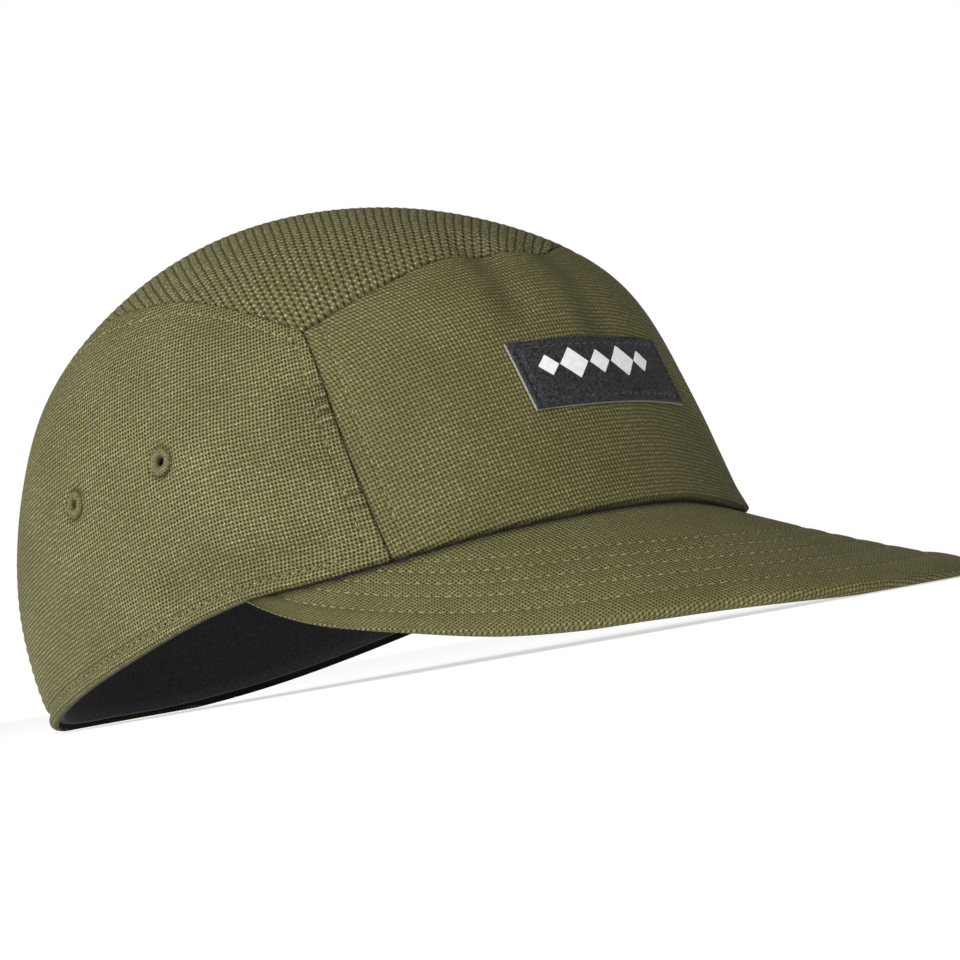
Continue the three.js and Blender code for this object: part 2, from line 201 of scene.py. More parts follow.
# %% The peak as a surface, and setting the cap down
PEAK_THICKNESS = 3.2
PEAK_EDGE_ROUND = 1.4
PEAK_JOINT_GAP = 0.35
PEAK_BELLY = -1.5
PEAK_EDGE = {
    "turn": (0, 9, 17, 26, 35, 44, 53, 61, 70, 79, 88),
    "out": (0, 16.5, 30, 42, 52.5, 61.5, 69, 74.5, 78.5, 81.5, 81),
    "forward": (146.5, 145, 140, 132, 121, 108.5, 92, 73, 51.5, 27, 3),
    "height": (-46, -45.4, -43.8, -41.5, -38.8, -36.2, -33, -28, -20.5, -11, 0),
}
PEAK_LENGTH = PEAK_EDGE["forward"][0]
PEAK_SPAN = PEAK_EDGE["turn"][-1]
REST_GIVE = 0.7
REST_SHIFT_Y = 14.2

whole_edge = {}
for name, values in PEAK_EDGE.items():
    mirrored = -1 if name in ("turn", "out") else 1
    whole_edge[name] = tuple(mirrored * value for value in values[:0:-1]) + values


def peak_start(turn):
    """Where the peak's upper face comes out from under the rim."""
    start = crown(turn, rim_lift(turn), PANEL_THICKNESS)
    start[..., 2] -= PEAK_JOINT_GAP
    return start


def peak_top(turn, along):
    """A point of the peak's upper face: along is 0 at the rim and 1 at the start of the rounded edge."""
    start = peak_start(turn)
    out, forward, height = (through(whole_edge, "turn", c, turn) for c in ("out", "forward", "height"))
    edge = np.stack([-out, -forward, height], axis=-1)
    length = np.linalg.norm(edge - start, axis=-1)
    at = along * (1 - PEAK_EDGE_ROUND / np.maximum(length, 2 * PEAK_EDGE_ROUND))
    points = start + (edge - start) * at[..., None]
    points[..., 2] += PEAK_BELLY * 4 * at * (1 - at) * length / PEAK_LENGTH
    return points


def peak_down(turn, along):
    """The direction straight down through the board."""
    step_along = peak_top(turn, along + 0.02) - peak_top(turn, along - 0.02)
    step_round = peak_top(turn + 0.5, along) - peak_top(turn - 0.5, along)
    down = unit(np.cross(step_round, step_along))
    return np.where(down[..., 2:] > 0, -down, down)


rear_reach = float(through(CROWN_SECTIONS, "lift", "back", np.array([0.0]))[0])
tip = (np.array([0.0]), np.array([1.0]))
tip_under = (peak_top(*tip) + peak_down(*tip) * PEAK_THICKNESS)[0]
rest_pitch = -math.atan2(-tip_under[2], rear_reach - tip_under[1])
rest_lift = -rear_reach * math.sin(rest_pitch) - REST_GIVE


def set_down(points):
    """Head-frame millimetres become metres on the table."""
    x, y, z = np.moveaxis(points, -1, 0)
    turned_y = y * math.cos(rest_pitch) - z * math.sin(rest_pitch) + REST_SHIFT_Y
    turned_z = y * math.sin(rest_pitch) + z * math.cos(rest_pitch) + rest_lift
    return np.stack([x, turned_y, np.maximum(turned_z, 0)], axis=-1) * MM


print("tipped by", round(math.degrees(rest_pitch), 2), "degrees, lifted by", round(rest_lift, 2), "mm")

# %% [markdown]
# The camera stands where the photograph was taken from, to the front of the wearer's right side and
# so low that the dark inside shows under the rim, but still just above the floor. A long lens keeps
# the shape free of distortion, and the camera leans a little to one side.

# %% Camera
CAMERA_AZIMUTH = -52.62
CAMERA_ELEVATION = -1.73
CAMERA_ROLL = -9.98
CAMERA_DISTANCE = 1400
CAMERA_AIM = (73.3, 48.6, 48.3)
CAMERA_SENSOR = 36
FRAME_PIXELS = 960
PIXELS_PER_MM = 3.625

azimuth, elevation = math.radians(CAMERA_AZIMUTH), math.radians(CAMERA_ELEVATION)
back = Vector((math.sin(azimuth), -math.cos(azimuth), 0)) * math.cos(elevation)
back.z = math.sin(elevation)
camera = bpy.data.objects.new("camera", bpy.data.cameras.new("camera"))
bpy.context.scene.collection.objects.link(camera)
camera.location = Vector(CAMERA_AIM) * MM + back * CAMERA_DISTANCE * MM
lean = Matrix.Rotation(math.radians(CAMERA_ROLL), 3, back)
camera.rotation_euler = (lean @ back.to_track_quat("Z", "Y").to_matrix()).to_euler()
camera.data.sensor_width = CAMERA_SENSOR
camera.data.lens = PIXELS_PER_MM * CAMERA_DISTANCE * CAMERA_SENSOR / FRAME_PIXELS
camera.data.clip_start = 0.05
bpy.context.scene.camera = camera
print("camera is", round(camera.location.z / MM), "mm above the floor, lens", round(camera.data.lens))

# %% [markdown]
# Materials are node trees, and a tree is easier to read when adding a node is one line. The first
# helper turns the hex colours of a paint chart into the linear values that Blender works with. The
# second adds a node, sets it up and links its inputs. The others are small patterns made of several
# nodes: sums, waves, layers of paint, and the cloth's own map, pushed about a little.

# %% Helpers for materials
# The colour of the shade painted into creases, seams, grooves and folds, and how strongly it is laid on.
PAINTED_SHADE_COLOUR = "17150a"
PAINTED_SHADE_STRENGTH = 0.8
CLOTH_SPECULAR = 0.15
SHEEN_ROUGHNESS = 0.5


def linear(hex_colour):
    """An sRGB hex colour as linear red, green, blue and alpha."""
    parts = [int(hex_colour[i:i + 2], 16) / 255 for i in (0, 2, 4)]
    return [c / 12.92 if c <= 0.04045 else ((c + 0.055) / 1.055) ** 2.4 for c in parts] + [1]


def add(tree, kind, inputs=None, output=0, **settings):
    """Adds a node with its settings and gives one output; inputs are values or other outputs."""
    node = tree.nodes.new(kind)
    for name, value in settings.items():
        setattr(node, name, value)
    for name, value in (inputs or {}).items():
        if isinstance(value, bpy.types.NodeSocket):
            tree.links.new(value, node.inputs[name])
        else:
            node.inputs[name].default_value = value
    return node.outputs[output]


def new_material(name):
    """An empty material with its tree and its shader."""
    material = bpy.data.materials.new(name)
    material.use_nodes = True
    return material, material.node_tree, material.node_tree.nodes["Principled BSDF"]


def weighted(tree, *terms):
    """A sum of outputs, each times its own weight."""
    total = 0.0
    for value, weight in terms:
        total = add(tree, "ShaderNodeMath", {0: value, 1: weight, 2: total}, operation="MULTIPLY_ADD")
    return total


def wave(tree, *terms):
    """A cosine wave: each term is a length in millimetres with its number of waves to a millimetre."""
    phase = weighted(tree, *((value, 2 * math.pi * count) for value, count in terms))
    return add(tree, "ShaderNodeMath", {0: phase}, operation="COSINE")


def steps(tree, *rows):
    """For each value a smooth step from 0 to 1 between two limits."""
    return [add(tree, "ShaderNodeMapRange", {"Value": value, "From Min": low, "From Max": high},
                interpolation_type="SMOOTHSTEP") for value, low, high in rows]


def painted(tree, base, *layers):
    """Lays colours over a base, each as thickly as its own share says."""
    for share, colour in layers:
        base = add(tree, "ShaderNodeMix", {"Factor": share, "A": base, "B": colour}, "Result",
                   data_type="RGBA")
    return base


def uneven_cloth(tree, reach_mm):
    """The cloth's own map in millimetres, straight and pushed about: no yarn lies quite straight."""
    cloth = add(tree, "ShaderNodeUVMap", uv_map="cloth_mm")
    push = add(tree, "ShaderNodeTexNoise", {"Vector": cloth, "Scale": 1 / 2.5, "Detail": 1.0}, "Color")
    push = add(tree, "ShaderNodeVectorMath", {0: push, 1: (0.5, 0.5, 0.5)}, operation="SUBTRACT")
    push = add(tree, "ShaderNodeVectorMath", {0: push, "Scale": reach_mm}, operation="SCALE")
    return cloth, add(tree, "ShaderNodeVectorMath", {0: cloth, 1: push}, operation="ADD")


def finish_cloth(tree, shader, colour, height, depth_mm, roughness, sheen):
    """Paints shade into the colour in creases, seams and grooves, as much as the piece's shade attribute
    says, and gives the shader its colour, bump and gloss.
    """
    painted_shade = add(tree, "ShaderNodeAttribute", output="Fac", attribute_name="painted_shade")
    shade = (weighted(tree, (painted_shade, PAINTED_SHADE_STRENGTH)), linear(PAINTED_SHADE_COLOUR))
    bump = add(tree, "ShaderNodeBump", {"Height": height, "Strength": 1.0, "Distance": depth_mm * MM})
    tree.links.new(painted(tree, colour, shade), shader.inputs["Base Color"])
    tree.links.new(bump, shader.inputs["Normal"])
    for name, value in {"Roughness": roughness, "Specular IOR Level": CLOTH_SPECULAR,
                        "Sheen Weight": sheen, "Sheen Roughness": SHEEN_ROUGHNESS}.items():
        shader.inputs[name].default_value = value

# %% [markdown]
# The crown cloth is a knitted polyester mesh: rows and columns of small dark holes about 1.1 mm
# apart, with a bright knot of yarn in the middle of each four. Real holes would take far too many
# faces, so two crossed waves draw them in colour and in bump, and a third one slants across them
# as the yarn does. They read the piece's own UV map, which is laid out in millimetres of cloth, so
# the mesh keeps its scale over every curve. Noise opens some holes and makes some knots paler: the
# pale knots are the yarn's own colour with painted glints on it. To the eye this gives a matt olive
# with a fine, slightly restless grid. Over the stiffened front and the board of the peak the same
# cloth shows less contrast.

# %% Material: polyester mesh
MESH_ACROSS = 1.08
MESH_UP = 1.1
PEAK_MESH = 1.06
PEAK_MESH_SLANT = -14
BACKED = 0.7
YARN_DARK = "58542f"
YARN_PALE = "69653c"
YARN_KNOT_AND_GLINT = "b1ac7f"
YARN_HOLE = "0c0b04"
PATCH_MM = 25
BLOTCH_MM = 9
YARN_MM = 1.5
FIBRE_MM = 1.1


def polyester_mesh(name, across, up, slant, contrast):
    """The mesh cloth, with its holes a set number of millimetres apart across and up."""
    material, tree, shader = new_material(name)
    cloth, moved = uneven_cloth(tree, 0.5)
    patches, blotches, yarn, fibre = (
        add(tree, "ShaderNodeTexNoise", {"Vector": cloth, "Scale": 1 / size, "Detail": detail})
        for size, detail in ((PATCH_MM, 2.0), (BLOTCH_MM, 3.0), (YARN_MM, 2.0), (FIBRE_MM, 2.0)))
    turned = add(tree, "ShaderNodeMapping", {"Vector": moved, "Rotation": (0, 0, math.radians(slant))})
    x, y, _ = add(tree, "ShaderNodeSeparateXYZ", {0: turned}).node.outputs
    column, row = (x, 1 / across), (y, 1 / up)
    lattice = weighted(tree, (wave(tree, column), 0.4), (wave(tree, row), 0.42),
                       (wave(tree, column, row), 0.3), (patches, 0.35), (yarn, 0.5))
    hole, knot, bright = steps(tree, (lattice, 0.6, 1.45), (weighted(tree, (lattice, -1.0)), -0.3, 0.2),
                               (fibre, 0.4, 0.62))
    # Painted glints: how much of the pale knot colour each knot gets, more where the fibre noise is high.
    shine = weighted(tree, (bright, 0.5 * contrast), (knot, 0.3 * contrast))
    colour = painted(tree, linear(YARN_DARK), (blotches, linear(YARN_PALE)),
                     (weighted(tree, (knot, shine)), linear(YARN_KNOT_AND_GLINT)),
                     (weighted(tree, (hole, 0.95 * contrast)), linear(YARN_HOLE)))
    height = weighted(tree, (knot, 0.6), (hole, -1.0), (bright, 0.25))
    finish_cloth(tree, shader, colour, height, depth_mm=0.36, roughness=0.65, sheen=0.02)
    return material


crown_mesh = polyester_mesh("polyester_mesh_crown", MESH_ACROSS, MESH_UP, 0, 1)
front_mesh = polyester_mesh("polyester_mesh_front", MESH_ACROSS, MESH_UP, 0, BACKED)
peak_mesh = polyester_mesh("polyester_mesh_peak", PEAK_MESH, PEAK_MESH, PEAK_MESH_SLANT, BACKED)
print("mesh holes to a square centimetre:", round(100 / (MESH_ACROSS * MESH_UP)))

# %% [markdown]
# The top is another cloth, a chunky knit with ribs 2.4 mm apart. It is cut on the bias, so the ribs
# run slantwise over the head. The ribs are real geometry, made with the piece. The loops along them
# are too small for that, so the material adds them as bump, and paints shade between the ribs and
# glints on the filament. To the eye the knit is coarser and livelier than the mesh below it.

# %% Material: rib knit
RIBS_PER_MM = np.array([0.255, -0.34])
LOOPS_PER_MM = np.array([0.56, 0.07])
KNIT_WAVES = [(RIBS_PER_MM, 0.44), (2 * RIBS_PER_MM, 0.2), (3 * RIBS_PER_MM, 0.12),
              (LOOPS_PER_MM, 0.32), (LOOPS_PER_MM - RIBS_PER_MM, 0.34)]
KNIT_DARK = "4d492b"
KNIT_PALE = "5e5a35"
KNIT_SHINE = "b2ad80"
KNIT_GAP_SHADE = "0f0e06"


def rib_knit():
    material, tree, shader = new_material("polyester_rib_knit")
    cloth, moved = uneven_cloth(tree, 0.6)
    x, y, _ = add(tree, "ShaderNodeSeparateXYZ", {0: moved}).node.outputs
    waves = [(wave(tree, (x, counts[0]), (y, counts[1])), share) for counts, share in KNIT_WAVES]
    gap = weighted(tree, *waves)
    fleck = add(tree, "ShaderNodeTexNoise", {"Vector": cloth, "Scale": 1 / 0.9, "Detail": 2.0})
    blotches = add(tree, "ShaderNodeTexNoise", {"Vector": cloth, "Scale": 1 / 6, "Detail": 3.0})
    # Painted shade in the gaps between ribs and loops, and painted glints of filament on the crests.
    shade, shine = steps(tree, (weighted(tree, (gap, 1.0), (fleck, 1.1)), 0.85, 1.85),
                         (weighted(tree, (gap, -1.0), (fleck, 1.8)), 1.1, 1.9))
    colour = painted(tree, linear(KNIT_DARK), (blotches, linear(KNIT_PALE)),
                     (weighted(tree, (shine, 0.85)), linear(KNIT_SHINE)),
                     (weighted(tree, (shade, 0.88)), linear(KNIT_GAP_SHADE)))
    height = weighted(tree, (gap, -0.5), (fleck, 0.6))
    finish_cloth(tree, shader, colour, height, depth_mm=0.5, roughness=0.7, sheen=0.02)
    return material


knit = rib_knit()
print("ribs are", round(1 / math.hypot(*RIBS_PER_MM), 2), "mm apart")

# %% [markdown]
# The small materials are plain cloths and threads, whose only pattern is a fine grain. One function
# makes them all, from two colours, the grain's size, the roughness, the sheen and the bump's depth.

# %% Materials: plain cloths and threads
def grained(name, dark, light, grain_mm, roughness, sheen, depth_mm):
    """A cloth or thread whose colour and height vary with a fine grain of a real size."""
    material, tree, shader = new_material(name)
    place = add(tree, "ShaderNodeTexCoord", output="Object")
    grain = add(tree, "ShaderNodeTexNoise", {"Vector": place, "Scale": 1 / (grain_mm * MM), "Detail": 3.0})
    [share] = steps(tree, (grain, 0.3, 0.7))
    colour = painted(tree, linear(dark), (share, linear(light)))
    finish_cloth(tree, shader, colour, grain, depth_mm, roughness, sheen)
    return material


# Near-black on the inner faces, which paints the hollow of the crown as dark as its shade.
black_inner_faces = grained("black_inner_faces_cloth", "151516", "1f1f20", 0.8, 0.95, 0.02, 0.1)
# A brushed knit, a little greyer than the near-black inner faces, with no gloss.
jersey = grained("black_brushed_jersey", "333336", "414144", 0.7, 0.9, 0.05, 0.15)
# Spun thread, paler and smoother than the cloth, so that each stitch catches the light.
olive_thread = grained("spun_polyester_thread_olive", "625e38", "a09b70", 0.6, 0.5, 0.02, 0.05)
# Thick embroidery thread, with shade painted between its wraps where the eyelets are made.
eyelet_thread = grained("embroidery_thread_olive", "4b4729", "8b865a", 0.4, 0.5, 0.02, 0.15)
# Black thread with enough sheen to stand out from the tape under it.
black_thread = grained("spun_polyester_thread_black", "1a1a1c", "4c4c50", 0.5, 0.35, 0.2, 0.05)
# A dense charcoal tape with a pebbled surface.
label_tape = grained("woven_label_tape", "19191b", "3e3e41", 0.7, 0.5, 0.05, 0.3)
# The cut edge shows the tape's undyed core as a thin pale line.
label_core = grained("woven_label_cut_edge", "77756a", "b5b3a4", 0.4, 0.9, 0.1, 0.05)
# Thick white print, matt and nearly even.
label_ink = grained("raised_white_print", "e8e8e6", "f6f6f4", 1.5, 0.6, 0.0, 0.03)

# %% [markdown]
# Cloth. Each cut piece starts as a flat grid, one operator, and is then laid on the head shape. Two
# things make it look sewn: its edges roll under where the next piece begins, and rows of
# stitches press shallow lines into it. Both depend on the distance to an edge, so the lengths
# along the grid's lines are measured first. The same lengths become the UV map. The wall is
# thickened at the end, and its inner face is painted near-black, as dark as the shade inside.

# %% Helpers for cloth
def new_grid(columns, rows):
    """A flat grid, with the column and the row of each of its vertices."""
    bm = bmesh.new()
    bmesh.ops.create_grid(bm, x_segments=columns, y_segments=rows, size=0.5)
    column = [round((v.co.x + 0.5) * columns) for v in bm.verts]
    row = [round((v.co.y + 0.5) * rows) for v in bm.verts]
    return bm, column, row


def lengths_along(points, axis):
    """The length along the grid's lines from where they start, in millimetres."""
    steps = np.linalg.norm(np.diff(points, axis=axis), axis=-1)
    lengths = np.zeros(points.shape[:-1])
    if axis == 0:
        lengths[1:] = np.cumsum(steps, axis=0)
    else:
        lengths[:, 1:] = np.cumsum(steps, axis=1)
    return lengths


def crowded(count, share):
    """Places from 0 to 1 that lie closer together towards both ends."""
    t = np.linspace(0, 1, count + 1)
    return t - share * np.sin(2 * np.pi * t) / (2 * np.pi)


def rolled(distance, radius):
    """How deep a folded edge sinks: a quarter of a circle next to the edge."""
    inside = np.clip(1 - distance / radius, 0, 1)
    return radius * (1 - np.sqrt(1 - inside**2))


def groove(distance, place, depth, spread):
    """A soft groove at one distance from an edge."""
    return depth * np.exp(-(((distance - place) / spread) ** 2))


def pressed(kind, distance):
    """How deep one kind of sewn line presses the cloth, and how much shade is painted along it."""
    line = SEWN[kind]
    return np.array([groove(distance, line["place"], line["depth"], line["width"]),
                     groove(distance, line["place"], line["shade"], line["shade_width"])])


def window(value, low, high, soft):
    """1 between two values and 0 outside, with soft ends."""
    return 1 / (1 + np.exp(-(value - low) / soft)) / (1 + np.exp((value - high) / soft))


def laid(points):
    """What is known of a grid of points before its relief: the lengths to each of its edges."""
    across = lengths_along(points, 1)
    up = lengths_along(points, 0)
    return {"points": points, "first": across, "last": across[:, -1:] - across,
            "low": up, "high": up[-1:] - up}


def put(bm, column, row, points, across_mm, up_mm, painted_shade=None):
    """Moves a flat grid's vertices to their points, writes the cloth's UV map and its painted shade, and
    gives the row and column of each vertex. A wall needs fresh normals, so they are made here."""
    uv = bm.loops.layers.uv.new("cloth_mm")
    if painted_shade is not None:
        shade = bm.verts.layers.float.new("painted_shade")
    places = dict(zip(bm.verts, zip(row, column)))
    for vertex, place in places.items():
        vertex.co = points[place]
        if painted_shade is not None:
            vertex[shade] = min(painted_shade[place], 1)
    for face in bm.faces:
        face.smooth = True
        for loop in face.loops:
            place = places[loop.vert]
            loop[uv].uv = (across_mm[place], up_mm[place])
    bm.normal_update()
    return places


def thickened(bm, thickness):
    """Gives a sheet its wall and puts material 1 on the inner face."""
    outer = set(bm.verts)
    bmesh.ops.solidify(bm, geom=bm.faces[:], thickness=thickness * MM)
    for vertex in bm.verts:
        vertex.co.z = max(vertex.co.z, 0)
    for face in bm.faces:
        face.smooth = True
        if not any(vertex in outer for vertex in face.verts):
            face.material_index = 1


def relieved(places, points):
    """Moves the vertices of the outer face, each known by its row and column, into their relief."""
    for vertex, place in places.items():
        if vertex.is_valid:
            vertex.co = points[place]


def sharpen(bm):
    """Keeps an edge crisp where its two faces meet at more than 50 degrees."""
    for edge in bm.edges:
        edge.smooth = edge.calc_face_angle(0) < math.radians(50)


def make_piece(name, bm, materials, node=None):
    """Turns a finished mesh into a piece of the cap."""
    mesh = bpy.data.meshes.new(name)
    bm.to_mesh(mesh)
    bm.free()
    for material in materials:
        mesh.materials.append(material)
    piece = bpy.data.objects.new(name, mesh)
    bpy.context.scene.collection.objects.link(piece)
    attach(piece, "root")
    if node:
        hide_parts(node)
    print(name, "has", sum(len(p.vertices) - 2 for p in mesh.polygons), "triangles")


# %% [markdown]
# The upright panels. The front, the two sides and the back are the same kind of piece, each between
# two turns of the head. Their lower edge is a hem, rolled round and held by a row of stitches 3.8
# mm up, which ends where the peak begins. The side panel puckers where it was eased into the
# front seam. Shade is painted into the colour along the seams, the rim and the rows of stitches,
# in the folds and puckers, and round the eyelets. The wall is given to the smooth sheet, and only
# its outer face then takes the relief, because a wall can't follow a roll that is tighter than its
# own thickness. Sewing stretches cloth, so each panel has its own share of stretch across and
# upwards, a lean of its columns and a bow of its rows.

# %% Front, side and back panels
SEAM_ROLL = 0.7
HEM_ROLL = 1.2
HEM_PROUD = 0.5
HEM_FOLD = (0.4, 2.9)
HEM_START_TURN = 66
CLOTH_WALL = 1.5
EYELETS = {"front": (93, 24.6), "rear": (113, 25.2)}
EYELET_CUT = 2.4
# How much shade is painted along the folds, the seams, the top seam, the rim and the joint with the peak.
FOLD_PAINTED_SHADE = 0.17
SEAM_PAINTED_SHADE = 0.6
TOP_SEAM_PAINTED_SHADE = 0.35
RIM_PAINTED_SHADE = 0.5
PEAK_JOINT_PAINTED_SHADE = 0.4

# Each sewn line has its distance from the edge, its groove's depth and width, and the strength and width of
# the shade painted along it.
SEWN = {
    "hem": {"place": 3.8, "depth": 0.7, "width": 1.1, "shade": 0.5, "shade_width": 0.5},
    "side": {"place": 4.9, "depth": 0.3, "width": 0.8, "shade": 0.3, "shade_width": 0.4},
    "side_top": {"place": 6, "depth": 0.3, "width": 0.9, "shade": 0.2, "shade_width": 0.4},
    "front": {"place": 4.8, "depth": 0.3, "width": 0.8, "shade": 0.25, "shade_width": 0.4},
    "front_top": {"place": 3, "depth": 0.2, "width": 0.8, "shade": 0, "shade_width": 0.4},
    "eyelet": {"place": 3.9, "depth": 0.7, "width": 1.0, "shade": 0.75, "shade_width": 0.7},
    "peak": {"place": 0, "depth": 0.3, "width": 1.3, "shade": 0.25, "shade_width": 0.7},
    "label": {"place": 2.1, "depth": 0.5, "width": 0.6, "shade": 0, "shade_width": 0.6},
}
LEAN_REACH = 135
# How much shade is painted in the puckers' troughs.
PUCKER_PAINTED_SHADE = 0.7
PUCKER_WIDTH = 5
PUCKERS = [
    {"up": 17, "reach": 5, "pitch": 3.6, "depth": 0.4},
    {"up": 44, "reach": 7, "pitch": 3.4, "depth": 0.7},
]

SIDE = {"columns": 230, "rows": 150, "wide": 1.03, "tall": 0.87, "rising": 0.0017, "bow": 0}
PANELS = {
    "front_panel": {"first": FRONT_SEAM_TURN, "last": -FRONT_SEAM_TURN, "columns": 260, "rows": 90,
                    "wide": 0.97, "tall": 1.045, "rising": 0, "lean": 0, "bow": 0.0011},
    "side_panel_right": {"first": BACK_SEAM_TURN, "last": FRONT_SEAM_TURN, "lean": 0.24, **SIDE},
    "side_panel_left": {"first": -FRONT_SEAM_TURN, "last": -BACK_SEAM_TURN, "lean": -0.24, **SIDE},
    "back_panel": {"first": 360 - BACK_SEAM_TURN, "last": BACK_SEAM_TURN, "columns": 110, "rows": 90,
                   "wide": 1, "tall": 1, "rising": 0.001, "lean": 0, "bow": 0},
}


def puckers(up, from_seam):
    """Small ripples next to a seam, at the heights where the cloth was eased, with shade painted in each
    trough.
    """
    ripples = []
    beside_seam = np.exp(-((from_seam / PUCKER_WIDTH) ** 4))
    for pucker in PUCKERS:
        near = beside_seam * np.exp(-(((up - pucker["up"]) / pucker["reach"]) ** 2))
        ripple = np.sin(2 * np.pi * up / pucker["pitch"]) * near
        ripples.append([pucker["depth"] * ripple, PUCKER_PAINTED_SHADE * np.maximum(ripple, 0)])
    return np.sum(ripples, axis=0)


def panel_relief(name, lay, turn):
    """How far each point of a panel sinks below the smooth crown, and how much shade is painted on it."""
    seams = np.minimum(lay["first"], lay["last"])
    over_peak = window(folded_turn(turn), -90, HEM_START_TURN, 2)
    sink = rolled(np.minimum(seams, lay["high"]), SEAM_ROLL) + rolled(lay["low"], HEM_ROLL)
    sink -= (1 - over_peak) * HEM_PROUD * window(lay["low"], *HEM_FOLD, 0.3)
    # Shade painted along the seams, the top seam and the rim, and more over the joint with the peak.
    painted_shade = groove(seams, 0, SEAM_PAINTED_SHADE, 0.6) + groove(lay["high"], 0, TOP_SEAM_PAINTED_SHADE, 0.6)
    painted_shade += groove(lay["low"], 0, RIM_PAINTED_SHADE + PEAK_JOINT_PAINTED_SHADE * over_peak, 0.9)
    relief = np.array([sink, painted_shade]) + (1 - over_peak) * pressed("hem", lay["low"])
    if name.startswith("side"):
        front = lay["last"] if name.endswith("right") else lay["first"]
        relief += pressed("side", front) + pressed("side_top", lay["high"]) + puckers(lay["low"], front)
    if name == "front_panel":
        relief += pressed("front", seams) + pressed("front_top", lay["high"])
    return relief


def eyelet_middles(name):
    """Where the eyelets of a panel go."""
    if not name.startswith("side"):
        return []
    side = 1 if name.endswith("right") else -1
    return [set_down(crown(side * turn, lift, 0)[None])[0] for turn, lift in EYELETS.values()]


def upright_panel(name, first, last, columns, rows, wide, tall, rising, lean, bow):
    across, up = np.meshgrid(crowded(columns, 0.6), crowded(rows, 0.5))
    turn = mix(first, last, across)
    lift = mix(rim_lift(turn), top_seam_lift(turn), up)
    smooth = crown(turn, lift, 0.0)
    lay = laid(smooth)
    relief = panel_relief(name, lay, turn)
    # Shade painted into the folds, as deep as they sink.
    relief[1] += FOLD_PAINTED_SHADE * np.maximum(fold_sink(smooth), 0)
    for middle in eyelet_middles(name):
        relief += pressed("eyelet", np.linalg.norm(set_down(smooth) - middle, axis=-1) / MM)
    sink, painted_shade = relief
    lay["points"] = set_down(crown(turn, lift, sink))
    side_mm = lay["first"] - lay["first"][:, columns // 2][:, None]
    up_mm = lay["low"]
    thread_across = (side_mm - lean * up_mm * (1 - up_mm / LEAN_REACH)) / wide
    thread_up = (up_mm * (1 - rising * up_mm) + bow * side_mm**2) / tall
    bm, column, row = new_grid(columns, rows)
    places = put(bm, column, row, set_down(smooth), thread_across, thread_up, painted_shade)
    for middle in eyelet_middles(name):
        inside = [f for f in bm.faces if (f.calc_center_median() - Vector(middle)).length < EYELET_CUT * MM]
        bmesh.ops.delete(bm, geom=inside, context="FACES")
    thickened(bm, CLOTH_WALL)
    relieved(places, lay["points"])
    sharpen(bm)
    cloth = front_mesh if name == "front_panel" else crown_mesh
    make_piece(name + "_cloth", bm, [cloth, black_inner_faces], name)
    return lay


lays = {name: upright_panel(name, **sizes) for name, sizes in PANELS.items()}

# %% [markdown]
# The top panel is stretched between its four seams, so its grid is blended from them. The knit's
# ribs are rounded ridges, a wave over the flat cloth, which is measured across from the middle and
# back from the front rim. Under this fine grid lies a coarse one, and bridging their edges closes
# the wall.

# %% Top panel
TOP_COLUMNS = 260
TOP_ROWS = 360
INNER_SHARE = 10
RIB_DEPTH = 0.14


def top_place(across, along):
    """A place on the disk, blended from the four seams round the top."""
    def on_seam(turn):
        return np.array(to_disk(turn, top_seam_lift(turn)))
    front = on_seam(mix(FRONT_SEAM_TURN, -FRONT_SEAM_TURN, across))
    back = on_seam(mix(BACK_SEAM_TURN, 360 - BACK_SEAM_TURN, across))
    right = on_seam(mix(FRONT_SEAM_TURN, BACK_SEAM_TURN, along))
    left = on_seam(-mix(FRONT_SEAM_TURN, BACK_SEAM_TURN, along))
    corners = [on_seam(turn)[:, None, None] for turn in
               (FRONT_SEAM_TURN, -FRONT_SEAM_TURN, BACK_SEAM_TURN, -BACK_SEAM_TURN)]
    flat = mix(mix(corners[0], corners[1], across), mix(corners[2], corners[3], across), along)
    return mix(front, back, along) + mix(right, left, across) - flat


def length_back(points):
    """How far back a point is, measured along the middle of the crown from the front rim."""
    ahead = np.linspace(1, -1, 401)
    middle = smooth_crown(np.zeros_like(ahead), ahead)
    lengths = np.concatenate([[0], np.cumsum(np.linalg.norm(np.diff(middle, axis=0), axis=-1))])
    return np.interp(points[..., 1], middle[:, 1], lengths)


def top_sheet(columns, rows):
    """The fine outer grid of the top, or the coarse inner one, with its lengths in millimetres."""
    right, ahead = top_place(*np.meshgrid(crowded(columns, 0.6), crowded(rows, 0.3)))
    lay = laid(smooth_crown(right, ahead))
    across_mm = lay["first"] - lay["first"][:, columns // 2][:, None]
    return right, ahead, lay, across_mm, length_back(lay["points"])


def top_backing():
    """The coarse sheet under the knit, facing inwards, as a mesh to be joined on."""
    columns, rows = TOP_COLUMNS // INNER_SHARE, TOP_ROWS // INNER_SHARE
    right, ahead, _, across_mm, back_mm = top_sheet(columns, rows)
    inner, column, row = new_grid(columns, rows)
    put(inner, column, row, set_down(crown_on_disk(right, ahead, CLOTH_WALL)), across_mm, back_mm)
    bmesh.ops.reverse_faces(inner, faces=inner.faces[:])
    for face in inner.faces:
        face.material_index = 1
    backing = bpy.data.meshes.new("backing")
    inner.to_mesh(backing)
    inner.free()
    return backing


